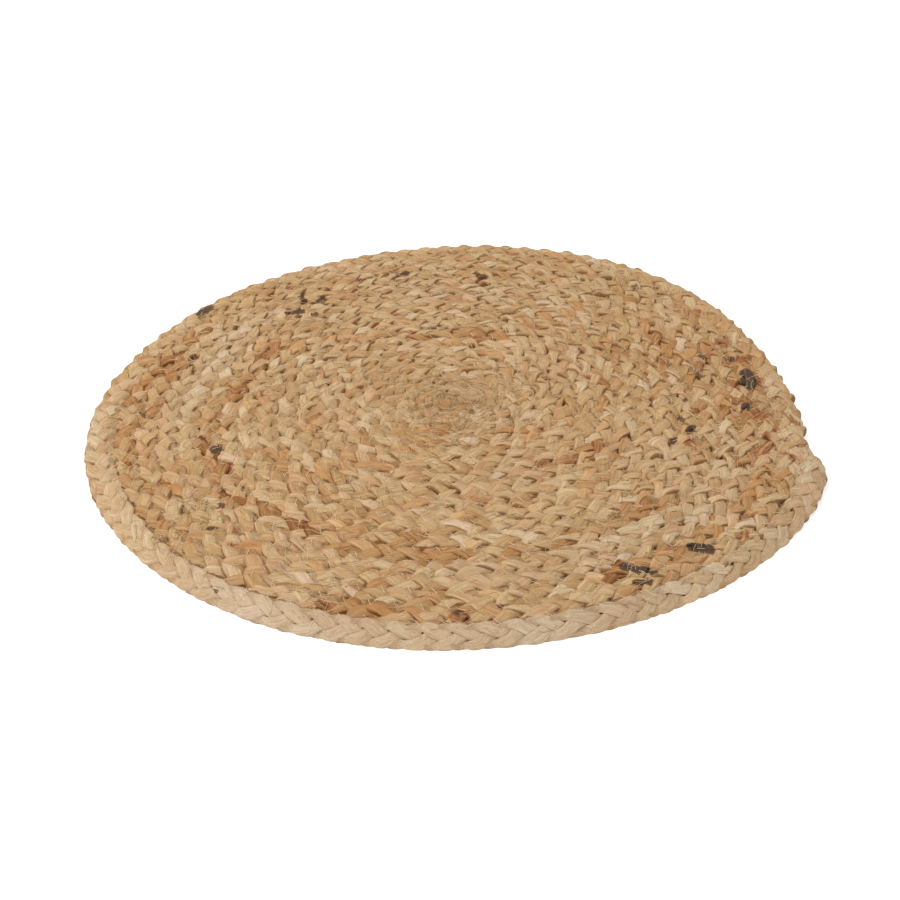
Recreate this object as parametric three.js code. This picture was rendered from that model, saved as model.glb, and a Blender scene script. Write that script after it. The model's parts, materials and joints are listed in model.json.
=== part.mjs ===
// Round jute placemat: one long braid of three strands, wound flat into a spiral and sewn turn to turn.
// Millimetres, +Z up. The underside lies on Z = 0 and the middle of the spiral is above the origin.
import * as THREE from "three";

// Winding, from the middle out, anticlockwise seen from above
const TURNS = 18.5;
const STEPS_PER_TURN = 60;
const END_DIRECTION = 348; // degrees from +X, where the braid's outer end has run out against the turn inside it
const START_TURNS = 0.25; // the braid's inner end, a quarter of a turn out from the middle
const RIM_SPREAD = 1.8; // extra width of the outermost turn, which nothing presses from outside
const RIM_EASE = 40; // degrees over which the turn becomes the free, outward leaning rim

// Heights above the underside
const SEAM_HEIGHT = 4.6; // bottom of the groove between two turns
const MIDDLE_HEIGHT = 6.8; // the groove is shallower in the tight middle,
const MIDDLE_TURNS = 1.5; // over this many turns
const RIM_HEIGHT = 3.6; // widest line of the rim
const LOWER_EDGE = { inset: 0.7, height: 1.3 };
const UNDERSIDE_INSET = 2.4;

// Section of a turn from its inner seam to its outer one: two rows of leaves with a valley between them.
// The rim's own section leans outwards.
const SECTION = [
  { across: 0.27, height: 8.4, rimHeight: 8.9 },
  { across: 0.5, height: 7.7, rimHeight: 7.9 },
  { across: 0.73, height: 8.2, rimHeight: 6.4 },
];

// Plan outline: the rim's radius by direction, over the last turn
const OUTLINE = [
  { direction: -12, radius: 184 },
  { direction: 0, radius: 182.5 },
  { direction: 20, radius: 184 },
  { direction: 40, radius: 190.5 },
  { direction: 60, radius: 195.5 },
  { direction: 80, radius: 193.5 },
  { direction: 100, radius: 187.5 },
  { direction: 120, radius: 183.5 },
  { direction: 140, radius: 183 },
  { direction: 160, radius: 183 },
  { direction: 180, radius: 188.5 },
  { direction: 200, radius: 192.5 },
  { direction: 220, radius: 194.3 },
  { direction: 240, radius: 194.5 },
  { direction: 260, radius: 193 },
  { direction: 280, radius: 191.5 },
  { direction: 300, radius: 192.5 },
  { direction: 320, radius: 196.3 },
  { direction: 335, radius: 198.2 },
];

const LAST_STEP = TURNS * STEPS_PER_TURN;
const FIRST_STEP = START_TURNS * STEPS_PER_TURN;
const RIM_START = LAST_STEP - STEPS_PER_TURN;
const STEP_DEGREES = 360 / STEPS_PER_TURN;
const TURN_WIDTH = OUTLINE[0].radius / (TURNS - 1);

// The outline closes on itself: where the last turn ends, the seam inside it is where the outline begins.
const outlineEnd = ((OUTLINE[0].radius + RIM_SPREAD) * TURNS) / (TURNS - 1);
const outline = new THREE.CubicInterpolant(
  [...OUTLINE.map((row) => row.direction), END_DIRECTION],
  [...OUTLINE.map((row) => row.radius), outlineEnd],
  1,
  new Float32Array(1),
);

function directionAt(step) {
  return END_DIRECTION + (step - LAST_STEP) * STEP_DEGREES;
}

/** How far a step has become the free rim: 0 up to the last turn, then up to 1. */
function rimShare(step) {
  return THREE.MathUtils.smoothstep((step - RIM_START) * STEP_DEGREES, 0, RIM_EASE);
}

/** Radius of the seam outside the braid at a step: the outline itself in the last turn, its share further in. */
function seamRadius(step) {
  if (step < FIRST_STEP) return 0;
  const turnsInside = Math.floor((LAST_STEP - step) / STEPS_PER_TURN);
  const rimStep = step + turnsInside * STEPS_PER_TURN;
  const turnsAtRim = rimStep / STEPS_PER_TURN;
  const rimRadius = outline.evaluate(directionAt(rimStep))[0];
  if (turnsInside === 0) return rimRadius;
  const rimWidth = rimRadius / turnsAtRim + RIM_SPREAD * rimShare(rimStep);
  return ((rimRadius - rimWidth) * (turnsAtRim - turnsInside)) / (turnsAtRim - 1);
}

function seamHeight(step) {
  if (step > RIM_START) return THREE.MathUtils.lerp(SEAM_HEIGHT, RIM_HEIGHT, rimShare(step));
  const nearMiddle = 1 - THREE.MathUtils.smoothstep(step / STEPS_PER_TURN, 0, MIDDLE_TURNS);
  return THREE.MathUtils.lerp(SEAM_HEIGHT, MIDDLE_HEIGHT, nearMiddle);
}

const positions = [];
const triangles = [];

/** Adds a point at a step's direction and returns its number. */
function addPoint(step, radius, height) {
  const angle = THREE.MathUtils.degToRad(directionAt(step));
  positions.push(radius * Math.cos(angle), radius * Math.sin(angle), height);
  return positions.length / 3 - 1;
}

/** Adds a triangle, unless two of its corners have run together. */
function addTriangle(a, b, c) {
  if (a !== b && b !== c && c !== a) triangles.push(a, b, c);
}

/** Joins two rows of points with triangles that face outwards: up on the upper face, then round the rim. */
function addBand(row, nextRow) {
  for (let i = 0; i + 1 < row.length; i += 1) {
    addTriangle(row[i], row[i + 1], nextRow[i + 1]);
    addTriangle(row[i], nextRow[i + 1], nextRow[i]);
  }
}

/** The points across one turn at a step, between the seams inside and outside it. */
function addTurnRow(step, innerSeam, outerSeam) {
  const inner = seamRadius(step - STEPS_PER_TURN);
  const width = seamRadius(step) - inner;
  const fullness = Math.min(1, width / TURN_WIDTH);
  const leaves = SECTION.map((row) => {
    const height = THREE.MathUtils.lerp(row.height, row.rimHeight, rimShare(step));
    return addPoint(step, inner + row.across * width, THREE.MathUtils.lerp(MIDDLE_HEIGHT, height, fullness));
  });
  return [innerSeam, ...leaves, outerSeam];
}

function buildMat() {
  const middle = addPoint(0, 0, MIDDLE_HEIGHT);
  const seams = [];
  for (let step = 0; step < LAST_STEP; step += 1) {
    seams.push(step < FIRST_STEP ? middle : addPoint(step, seamRadius(step), seamHeight(step)));
  }
  const tip = seams[RIM_START];

  // The upper face follows the braid from its inner end to its outer one.
  const rows = [];
  for (let step = FIRST_STEP; step < LAST_STEP; step += 1) {
    rows.push(addTurnRow(step, seams[step - STEPS_PER_TURN] ?? middle, seams[step]));
  }
  rows.push(rows[0].map(() => tip));
  rows.slice(1).forEach((row, i) => addBand(rows[i], row));

  // The cut inner end
  const start = rows[0];
  for (let i = start.length - 1; i > 1; i -= 1) addTriangle(middle, start[i], start[i - 1]);

  // The rim rounds under to the flat underside.
  const under = addPoint(0, 0, 0);
  const sides = [];
  for (let step = RIM_START; step < LAST_STEP; step += 1) {
    const radius = seamRadius(step);
    const lower = addPoint(step, radius - LOWER_EDGE.inset, LOWER_EDGE.height);
    const foot = addPoint(step, radius - UNDERSIDE_INSET, 0);
    sides.push([seams[step], lower, foot, under]);
  }
  sides.forEach((side, i) => addBand(side, sides[(i + 1) % sides.length]));

  const geometry = new THREE.BufferGeometry();
  geometry.setAttribute("position", new THREE.Float32BufferAttribute(positions, 3));
  geometry.setIndex(triangles);
  geometry.computeVertexNormals();
  return geometry;
}

const jute = new THREE.MeshStandardMaterial({ color: 0xb8945f, roughness: 0.92, metalness: 0 });
const mat = new THREE.Mesh(buildMat(), jute);
mat.name = "braided_mat";

const placemat = new THREE.Group();
placemat.add(mat);

export default placemat;
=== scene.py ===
"""Round jute placemat: one long braid of three strands, wound into a spiral and sewn turn to turn."""
import json
import math
from typing import NamedTuple

import bpy
import numpy as np
from bpy.props import FloatProperty, FloatVectorProperty, IntProperty, PointerProperty
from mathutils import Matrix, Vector

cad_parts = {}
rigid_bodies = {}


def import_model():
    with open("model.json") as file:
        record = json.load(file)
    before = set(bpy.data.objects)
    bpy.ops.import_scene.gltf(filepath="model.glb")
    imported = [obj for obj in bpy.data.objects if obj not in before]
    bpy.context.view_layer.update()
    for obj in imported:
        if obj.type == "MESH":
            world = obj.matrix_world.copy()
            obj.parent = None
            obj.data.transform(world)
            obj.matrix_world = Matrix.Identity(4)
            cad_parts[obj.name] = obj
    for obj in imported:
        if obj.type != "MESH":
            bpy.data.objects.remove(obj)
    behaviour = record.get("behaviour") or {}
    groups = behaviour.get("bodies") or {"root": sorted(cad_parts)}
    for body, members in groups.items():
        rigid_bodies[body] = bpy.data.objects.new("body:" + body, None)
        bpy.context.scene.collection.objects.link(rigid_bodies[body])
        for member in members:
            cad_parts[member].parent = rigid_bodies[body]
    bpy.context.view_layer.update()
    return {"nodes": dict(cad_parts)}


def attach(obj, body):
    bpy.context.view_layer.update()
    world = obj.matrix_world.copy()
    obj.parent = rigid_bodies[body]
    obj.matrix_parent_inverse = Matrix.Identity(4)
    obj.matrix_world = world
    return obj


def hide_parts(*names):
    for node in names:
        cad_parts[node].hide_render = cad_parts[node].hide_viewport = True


bl_info = {
    "name": "Jute placemat",
    "version": (1, 0, 0),
    "blender": (4, 5, 0),
    "location": "3D View > Sidebar > Placemat",
    "description": "Braids, sews and stages a round jute placemat on its packed solid",
    "category": "Object",
}

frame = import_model()

MAT = "braided_mat"
BODY = "root"
MM = 0.001
WHITE = (1.0, 1.0, 1.0, 1.0)

# Winding of the braid, as in the solid: from the middle out, anticlockwise seen from above
TURNS = 18.5
START_TURNS = 0.25
END_DIRECTION = 348.0  # degrees from +X, where the outer end has run out
STEPS_PER_TURN = 60  # corners of the solid in one turn
LINE_STEPS = 40000  # points of a spiral before they are spaced evenly
NARROWEST = 0.4  # least width of the braid, as a share of a full turn's
RIM_SPREAD = 1.8 * MM  # extra width of the outermost turn
RIM_EASE = 40.0  # degrees over which a turn becomes the free rim
WANDER = 0.35 * MM  # how far the seams stray from an even spiral
WANDER_LENGTH = 40 * MM
WANDER_EASE = 3  # turns from the middle over which they begin to
WANDER_SEED = 11

# The outer end tucks under the turn inside it
TUCK_LENGTH = 7.5  # degrees over which it does
TUCK_SHIFT = 0.5  # how far in, as a share of its width,
TUCK_DROP = 1.2 * MM  # how far down,
TUCK_NARROWING = 0.45  # and how much narrower
TUCK_FLATNESS = 0.35  # and flatter it gets

# A strand's path and section
STRANDS = 3
STRAND_OFFSET = 7.0  # sets the strands' own noise far apart
DRIFT_LENGTH = 33 * MM  # over which the leaves crowd together or spread
STRAY_LENGTH = 14 * MM  # over which a strand strays, swells and thins
SWELL_RISE = 0.4  # how far it rises where it swells, as a share of the unevenness
BATCH_LENGTH = 60 * MM  # over which the jute of a strand changes its colour
PATH_FLATNESS = 0.3  # 0 for a plain wave, up to 0.5 for one with flat tops
SWAY_SHARPNESS = 0.92  # 0 for a plain wave, up to 1 for a zigzag
EDGE_POWER = 4.0  # the higher, the closer to the braid's edge a strand drops into the seam
LEAF_BREAK = 0.25  # half periods to where a strand is hidden, and its next leaf begins
SECTION_POWER = 0.56  # 1 for an oval section, less for one with squarer shoulders
RIDGE_COUNT = 2.2  # bundles of fibre round a strand
RIDGE_LENGTH = 16 * MM

# The free rim, and the tight middle
RIM_NARROWING = 0.1  # the rim keeps inside its outline by being narrower
RIM_SHIFT = 0.03  # and further in, as shares of its width,
LEANING_NARROWING = 0.16  # even more so where it leans
LEANING_SHIFT = 0.1
LEANING_RANGE = (0.2, 0.75)  # sines of the directions between which it comes to lean
RIM_FULLNESS = 0.15  # its leaves are wider
RIM_EVENNESS = 0.65  # and more alike,
UNDER_NARROWING = 0.2  # and don't stand out from under it;
RIM_FLATNESS = 0.1  # they are flatter,
RIM_ROUNDNESS = 0.4  # and the outer ones follow the outline,
RIM_ROUNDED = 0.7  # also where it doesn't lean
RIM_OUTER = (0.0, 0.5)  # part of a strand's swing over which it comes to the outer side
MIDDLE_TURNS = 7.0  # the turns in the middle are flatter,
MIDDLE_FLATNESS = 0.6
MIDDLE_LIGHTNESS = 0.6  # and the shade painted in their hollows is weaker

# Sewing thread and loose fibres
SEWN_FROM = 0.6  # turns from the middle
SEAM_STEPS = 4  # points of the seam in one stitch
STITCH_RANGE = (0.6, 1.3)  # reach of single stitches, as shares of the usual one
MID_STITCH = 0.25  # the middle of the thread's way out, in pairs of stitches
HIDDEN_RANGE = (0.18, 0.28)  # how far from there it goes out of sight
THREAD_PULLS = 3  # rounds in which thread
FIBRE_PULLS = 2  # and fibres are pulled straight
YARN_SIDES = 3  # corners of their section
YARN_LIFT = 0.5  # height of their middle above the strands, as a share of their radius
RAY_HEIGHT = 40 * MM  # from where they are laid down on the strands
FIBRE_ROWS = (0.3, 1.3)  # how far inside a seam the fibres lie, in turn widths
FIBRE_TURNING = 0.7  # radians by which they turn from the braid's direction
FIBRE_LENGTHS = (1.2, 2.5)  # beta spread of their lengths: few long ones
FIBRE_CURLS = (1, 4)  # and of how far their ends stand up
FIBRE_STOPS = (0.0, 0.6, 1.0)  # of their shades, from pale to brown
CURL_POWER = 3.0  # the higher, the nearer to its end a fibre curls up
FIBRE_MARGIN = 4 * MM  # they end at least this far inside the outline
FIBRE_START = 4 * MM  # height of a fibre that finds no strand below it
FACE_HEIGHT = 7 * MM  # of the mat's upper face

# The photograph's camera, found from the mat's outline and the spiral's middle
PHOTO_SIZE = 900  # pixels, both ways
SENSOR = 36.0
LENS = 58.23
FOCAL = LENS / SENSOR * PHOTO_SIZE  # pixels
CAMERA_TILT = math.radians(33.83)  # above the table
CAMERA_BACK = np.array([0.0, -math.cos(CAMERA_TILT), math.sin(CAMERA_TILT)])
CAMERA_UP = np.array([0.0, math.sin(CAMERA_TILT), math.cos(CAMERA_TILT)])
CAMERA_DISTANCE = 751.6 * MM
CAMERA_AIM = Vector((-0.5 * MM, -35.9 * MM, 0.0))
KEY_PLACE = (-0.75, -0.12, 1.08)  # metres; the soft light hangs to the left


class Run(NamedTuple):
    """A stretch of the braid, in turns from the middle, with paler or browner jute than the rest."""

    first: float
    last: float
    paleness: float
    warmth: float


# The rim first, then the turns further in
RUNS = (
    Run(18.02, 18.20, 0.35, 0.0),
    Run(18.14, 18.39, 1.0, 0.0),
    Run(18.33, 18.54, 0.5, 0.0),
    Run(17.20, 17.34, 0.0, 0.35),
    Run(16.92, 17.18, 0.0, 0.6),
    Run(16.30, 16.72, 0.0, 0.6),
    Run(15.94, 16.15, 0.0, 0.7),
    Run(15.45, 15.62, 0.0, 0.6),
    Run(15.24, 15.50, 0.25, 0.0),
    Run(14.90, 15.10, 0.3, 0.0),
    Run(14.22, 14.48, 0.3, 0.0),
    Run(13.90, 14.10, 0.3, 0.0),
    Run(13.46, 13.66, 0.0, 0.5),
    Run(13.04, 13.45, 0.0, 0.7),
    Run(12.69, 12.84, 0.3, 0.0),
    Run(11.87, 12.10, 0.0, 0.9),
    Run(11.69, 11.85, 0.3, 0.0),
    Run(10.08, 10.26, 0.0, 0.3),
    Run(8.50, 8.62, 0.0, 0.6),
    Run(8.30, 8.50, 0.0, 0.5),
    Run(7.70, 7.95, 0.0, 0.5),
)
RUN_EASE = 0.06  # turns


class Mark(NamedTuple):
    """A discoloured patch, as charted on the photograph in pixels, with its slope in degrees."""

    column: float
    row: float
    half_length: float
    half_width: float
    slope: float
    strength: float


MARK_NORM = 4  # 2 for oval marks, more for squarer ones
MARK_EDGE = (0.7, 1.1)  # where a mark fades, as shares of its half sizes
MARK_REACH = 1.2  # how far out it still covers a leaf, as a share of them
MARK_HOLD = (0.25, 0.6)  # cover from which a leaf takes a mark, as shares of the most covered leaf's

# Dark bark left on the fibre
BARK_MARKS = (
    Mark(205, 311, 11, 4, 30, 0.8),
    Mark(224, 307, 6, 4, 30, 0.5),
    Mark(295, 312, 12, 3, 5, 0.8),
    Mark(303, 299, 6, 3, -60, 0.85),
    Mark(320, 301, 8, 3, 25, 0.75),
    Mark(315, 314, 5, 3, 0, 0.7),
    Mark(403, 274, 9, 3, 10, 0.7),
    Mark(482, 277, 8, 4, 0, 0.6),
    Mark(635, 287, 5, 5, 0, 0.6),
    Mark(703, 357, 7, 3, -30, 0.65),
    Mark(698, 375, 7, 4, -60, 0.6),
    Mark(731, 359, 4, 4, 0, 0.9),
    Mark(740, 352, 7, 2, -15, 0.8),
    Mark(748, 379, 12, 8, -65, 1.2),
    Mark(746, 407, 6, 5, 0, 1.0),
    Mark(670, 395, 4, 3, 0, 0.6),
    Mark(684, 400, 5, 3, 0, 0.6),
    Mark(681, 419, 6, 4, -30, 0.6),
    Mark(691, 429, 7, 4, 40, 0.9),
    Mark(674, 440, 5, 4, 20, 0.9),
    Mark(193, 358, 7, 5, 20, 0.6),
    Mark(143, 415, 4, 5, 0, 0.7),
    Mark(203, 438, 5, 3, 0, 0.8),
    Mark(216, 449, 8, 5, 20, 0.8),
    Mark(223, 490, 4, 4, 0, 0.7),
    Mark(243, 488, 6, 3, 80, 0.7),
    Mark(221, 505, 6, 4, 0, 0.7),
    Mark(212, 528, 6, 4, 0, 1.0),
    Mark(112, 519, 7, 3, -20, 0.6),
    Mark(803, 446, 3, 2, 0, 0.6),
    Mark(216, 591, 3, 3, 0, 1.0),
    Mark(457, 613, 5, 4, 0, 0.9),
    Mark(500, 607, 4, 3, 0, 0.6),
    Mark(638, 569, 22, 4, -9, 1.2),
    Mark(644, 582, 13, 3, -2, 1.0),
    Mark(700, 548, 16, 5, -8, 1.1),
)

# Rust brown jute, and one mark of painted brown shade
RUST_MARKS = (
    Mark(747, 516, 13, 4, 25, 1.0),
    Mark(741, 535, 9, 4, 10, 1.0),
    Mark(705, 560, 9, 4, 45, 0.7),
    Mark(673, 547, 10, 4, 0, 0.8),
    Mark(615, 517, 9, 6, 0, 0.7),
    Mark(743, 359, 11, 4, 10, 1.0),
    Mark(734, 384, 9, 4, -30, 1.0),
    Mark(761, 382, 6, 6, 0, 0.9),
    Mark(736, 402, 6, 4, 0, 1.0),
    Mark(759, 414, 10, 5, -20, 1.0),
    Mark(774, 399, 6, 5, 0, 0.7),
    Mark(691, 441, 10, 4, 25, 0.9),
    Mark(794, 421, 9, 4, -45, 0.9),
    Mark(766, 437, 6, 6, 0, 0.9),
    # Painted shade: brown shadow between leaves, painted as rust
    Mark(765, 450, 7, 5, 0, 0.8),
    Mark(794, 458, 7, 4, -20, 0.9),
    Mark(737, 462, 5, 6, 0, 0.8),
    Mark(733, 453, 8, 4, 20, 0.8),
    Mark(694, 449, 5, 3, 0, 0.9),
    Mark(694, 411, 8, 5, 0, 0.8),
    Mark(660, 361, 9, 5, 0, 0.7),
    Mark(722, 343, 9, 6, 0, 0.9),
    Mark(700, 367, 8, 7, -40, 0.8),
    Mark(661, 341, 6, 4, 0, 0.8),
    Mark(293, 288, 9, 3, 0, 0.7),
    Mark(361, 280, 6, 3, 0, 0.8),
    Mark(205, 331, 11, 4, 10, 0.7),
    Mark(230, 295, 5, 3, 0, 0.7),
    Mark(227, 468, 9, 7, 0, 0.9),
    Mark(128, 466, 8, 6, 0, 0.9),
    Mark(138, 402, 6, 4, 0, 0.7),
    Mark(143, 426, 6, 5, 0, 0.7),
    Mark(219, 416, 6, 6, 0, 0.8),
    Mark(238, 532, 7, 5, 0, 0.8),
    Mark(228, 547, 5, 5, 0, 0.7),
    Mark(154, 507, 6, 4, 80, 0.7),
    Mark(541, 463, 8, 4, 0, 0.8),
    Mark(325, 605, 12, 7, -20, 0.9),
    Mark(460, 616, 13, 7, 0, 1.3),
    Mark(196, 503, 10, 8, 0, 0.6),
)


class Fray(NamedTuple):
    """A tangle of loose fibres, as charted on the photograph in pixels."""

    column: float
    row: float
    radius: float
    count: int


FRAYS = (
    Fray(162, 545, 9 * MM, 40),
    Fray(198, 503, 10 * MM, 45),
    Fray(322, 597, 10 * MM, 45),
    Fray(615, 517, 8 * MM, 35),
    Fray(765, 405, 10 * MM, 35),
    Fray(455, 405, 36 * MM, 700),
)


class Bulge(NamedTuple):
    """A stretch of the rim that lies further out or further in than the solid's."""

    direction: float
    spread: float
    height: float


BULGES = (
    Bulge(46, 22, 3.2 * MM),
    Bulge(186, 16, -1.2 * MM),
)


class Grain(NamedTuple):
    """Lines of fibre in a strand, with what they do to its colour where they are dark and light."""

    length: float
    thickness: float
    detail: float
    contrast: tuple = (0.0, 1.0)
    dark: tuple = WHITE
    light: tuple = WHITE
    evened: float = 0.5  # share of light where the jute is smooth


BUNDLES = Grain(40 * MM, 1.6 * MM, 2.0)
STREAKS = Grain(
    16 * MM, 0.5 * MM, 3.0, (0.3, 0.55), (0.79, 0.74, 0.67, 1.0), (0.98, 0.98, 0.98, 1.0), 0.75)
HAIRS = Grain(
    9 * MM, 0.2 * MM, 2.0, (0.3, 0.65), (0.72, 0.67, 0.6, 1.0), (1.11, 1.11, 1.11, 1.0), 0.6)

# Tone of the jute, from 0 for cream to 1 for dark brown, and how far it varies
TONE = 0.41
TONE_STOPS = (0.0, 0.3, 0.6, 0.82, 1.0)
LEAF_TONES = 0.34  # from leaf to leaf,
BATCH_TONES = 1.0  # along a strand,
BUNDLE_TONES = 0.9  # from bundle to bundle
STREAK_TONES = 0.6  # and from streak to streak
WARM_TONES = 0.32  # in a browner run, more on the browner leaves
WARM_LEAST = 0.4
PALE_TONE = 0.15  # a paler run is less brown,
PALE_COVER = 0.55  # bleached
PALE_SMOOTHNESS = 0.15  # and smoother
LEAF_HUES = (
    (0.0, (1.04, 0.98, 1.0, 1.0)),
    (0.3, (1.01, 1.0, 1.0, 1.0)),
    (0.6, (0.99, 1.0, 0.96, 1.0)),
    (0.88, (1.01, 1.0, 0.98, 1.0)),
    (1.0, (1.07, 0.93, 0.8, 1.0)),
)

# Strengths between which a mark comes in, and how far the fibre breaks it up
RUST_RANGE = (0.35, 0.9)
RUST_BREAKING = 1.6
RUST_COVER = 0.8
BARK_RANGE = (0.35, 0.6)
BARK_CORE = (0.5, 0.9)
BARK_BREAKING = 0.55
BARK_HAIRS = (0.35, 0.7)

# Painted shade: the jute's colour is made darker under other strands and at the sides of a leaf, where shade
# falls
PAINTED_UNDER_SHADE_COVER = 0.5
PAINTED_UNDER_SHADE = (0.62, 0.5, 0.38)
PAINTED_SIDE_SHADE_RANGE = (0.87, 1.0)
PAINTED_SIDE_SHADE_COVER = 0.9
PAINTED_SIDE_SHADE = (0.44, 0.33, 0.23)

# Surfaces
RELIEF_STRENGTH = 0.8
RELIEF_DEPTH = 0.4 * MM
HAIR_RELIEF = 0.5  # of the streaks'
JUTE_ROUGHNESS = 0.85
JUTE_SHINE = 0.2
YARN_ROUGHNESS = 0.8
YARN_SHINE = 0.25
FLOOR_ROUGHNESS = 0.9


def smoothstep(value, low, high):
    """0 below low, 1 above high and an easy slope between them."""
    share = np.clip((value - low) / (high - low), 0, 1)
    return share * share * (3 - 2 * share)


def linear(red, green, blue):
    """A colour given as it looks on a screen, from 0 to 255, for a shader."""
    def one(level):
        share = level / 255
        return share / 12.92 if share <= 0.04045 else ((share + 0.055) / 1.055) ** 2.4

    return one(red), one(green), one(blue), 1.0


def direction_at(turns):
    """Direction from the middle, in degrees from +X, after that many turns."""
    return END_DIRECTION - (TURNS - turns) * 360


def rim_share(turns):
    """How far the braid has become the free rim, from 0 up to 1 early in the last turn."""
    return smoothstep((turns - TURNS + 1) * 360, 0, RIM_EASE)


def rim_leaning(turns):
    """How far the rim lies on the slope down to the table: 1 at the front, 0 at the sides and the back."""
    return rim_share(turns) * smoothstep(-np.sin(np.radians(direction_at(turns))), *LEANING_RANGE)


def rim_outline():
    """Directions and radii of the rim over the last turn: the solid's outermost corners, with the bulges."""
    corners = np.array([corner.co for corner in frame["nodes"][MAT].data.vertices])
    first = END_DIRECTION - 360
    spacing = 360 / STEPS_PER_TURN
    bearings = np.degrees(np.arctan2(corners[:, 1], corners[:, 0]))
    steps = np.rint((bearings - first) / spacing).astype(int) % STEPS_PER_TURN
    radii = np.zeros(STEPS_PER_TURN)
    np.maximum.at(radii, steps, np.hypot(corners[:, 0], corners[:, 1]))
    radii = np.append(radii, (radii[0] + RIM_SPREAD) * TURNS / (TURNS - 1))
    directions = first + spacing * np.arange(STEPS_PER_TURN + 1)
    for bulge in BULGES:
        radii += bulge.height * np.exp(-(((directions - bulge.direction) / bulge.spread) ** 2))
    return directions, radii


RIM_DIRECTIONS, RIM_RADII = rim_outline()
TURN_WIDTH = RIM_RADII[0] / (TURNS - 1)


def seam_wander(turns):
    """How far the sewn seam strays from an even spiral."""
    along = math.pi * TURN_WIDTH * np.maximum(turns, 0) ** 2
    knots = np.arange(0, math.pi * TURN_WIDTH * TURNS**2 + WANDER_LENGTH, WANDER_LENGTH)
    strays = np.random.default_rng(WANDER_SEED).normal(0, WANDER, len(knots))
    rim_start = TURNS - 1
    inside = smoothstep(turns, 0, WANDER_EASE)
    inside = inside * (1 - smoothstep(turns, rim_start, rim_start + RIM_EASE / 360))
    return np.interp(along, knots, strays) * inside


def seam_radius(turns):
    """Radius of the seam outside the braid: the rim itself in the last turn, its share of it further in."""
    turns_inside = np.maximum(0, np.floor(TURNS - turns))
    turns_at_rim = turns + turns_inside
    rim = np.interp(direction_at(turns_at_rim), RIM_DIRECTIONS, RIM_RADII)
    rim_width = rim / turns_at_rim + RIM_SPREAD * rim_share(turns_at_rim)
    inside = (rim - rim_width) * turns / (turns_at_rim - 1)
    even = np.where(turns < START_TURNS, 0, np.where(turns_inside == 0, rim, inside))
    return even + seam_wander(turns)


class Line(NamedTuple):
    """Points along a spiral with what goes with each of them."""

    points: np.ndarray
    outward: np.ndarray
    along: np.ndarray
    turns: np.ndarray


def even_line(turns, radii, spacing):
    """The spiral through those turns and radii, with points at an even spacing along it."""
    angles = np.radians(direction_at(turns))
    x, y = radii * np.cos(angles), radii * np.sin(angles)
    length = np.concatenate([[0], np.cumsum(np.hypot(np.diff(x), np.diff(y)))])
    along = np.linspace(0, length[-1], int(length[-1] / spacing) + 1)
    x, y = np.interp(along, length, x), np.interp(along, length, y)
    heading = np.arctan2(np.gradient(y), np.gradient(x))
    zeros = np.zeros_like(along)
    return Line(
        np.stack([x, y, zeros], axis=1),
        np.stack([np.sin(heading), -np.cos(heading), zeros], axis=1),
        along,
        np.interp(along, length, turns),
    )


def point_object(name, points, edges, attributes):
    """A mesh of points and edges with an attribute for each named array."""
    mesh = bpy.data.meshes.new(name)
    mesh.from_pydata(points.tolist(), edges, [])
    for key, values in attributes.items():
        if values.ndim == 2:
            mesh.attributes.new(key, "FLOAT_VECTOR", "POINT").data.foreach_set("vector", values.ravel())
        else:
            mesh.attributes.new(key, "FLOAT", "POINT").data.foreach_set("value", values)
    piece = bpy.data.objects.new(name, mesh)
    bpy.context.scene.collection.objects.link(piece)
    return piece


def line_object(name, line, attributes):
    """A mesh of one open polyline with an attribute for each named array."""
    edges = [(i, i + 1) for i in range(len(line.points) - 1)]
    own = {"path_outward": line.outward, "path_along": line.along}
    return point_object(name, line.points, edges, {**own, **attributes})


class Socket:
    """A node's output, so that node maths reads as a Python expression."""

    def __init__(self, graph, output):
        self.graph = graph
        self.output = output

    @property
    def is_vector(self):
        return self.output.type in {"VECTOR", "RGBA"}

    def __add__(self, other):
        return self.graph.math("ADD", self, other)

    def __radd__(self, other):
        return self.graph.math("ADD", other, self)

    def __sub__(self, other):
        return self.graph.math("SUBTRACT", self, other)

    def __rsub__(self, other):
        return self.graph.math("SUBTRACT", other, self)

    def __mul__(self, other):
        return self.graph.math("MULTIPLY", self, other)

    def __rmul__(self, other):
        return self.graph.math("MULTIPLY", other, self)

    def __truediv__(self, other):
        return self.graph.math("DIVIDE", self, other)

    def __rtruediv__(self, other):
        return self.graph.math("DIVIDE", other, self)

    def __neg__(self):
        return self.graph.math("MULTIPLY", self, -1.0)

    def other(self, name):
        """Another output of the same node."""
        return Socket(self.graph, self.output.node.outputs[name])


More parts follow.
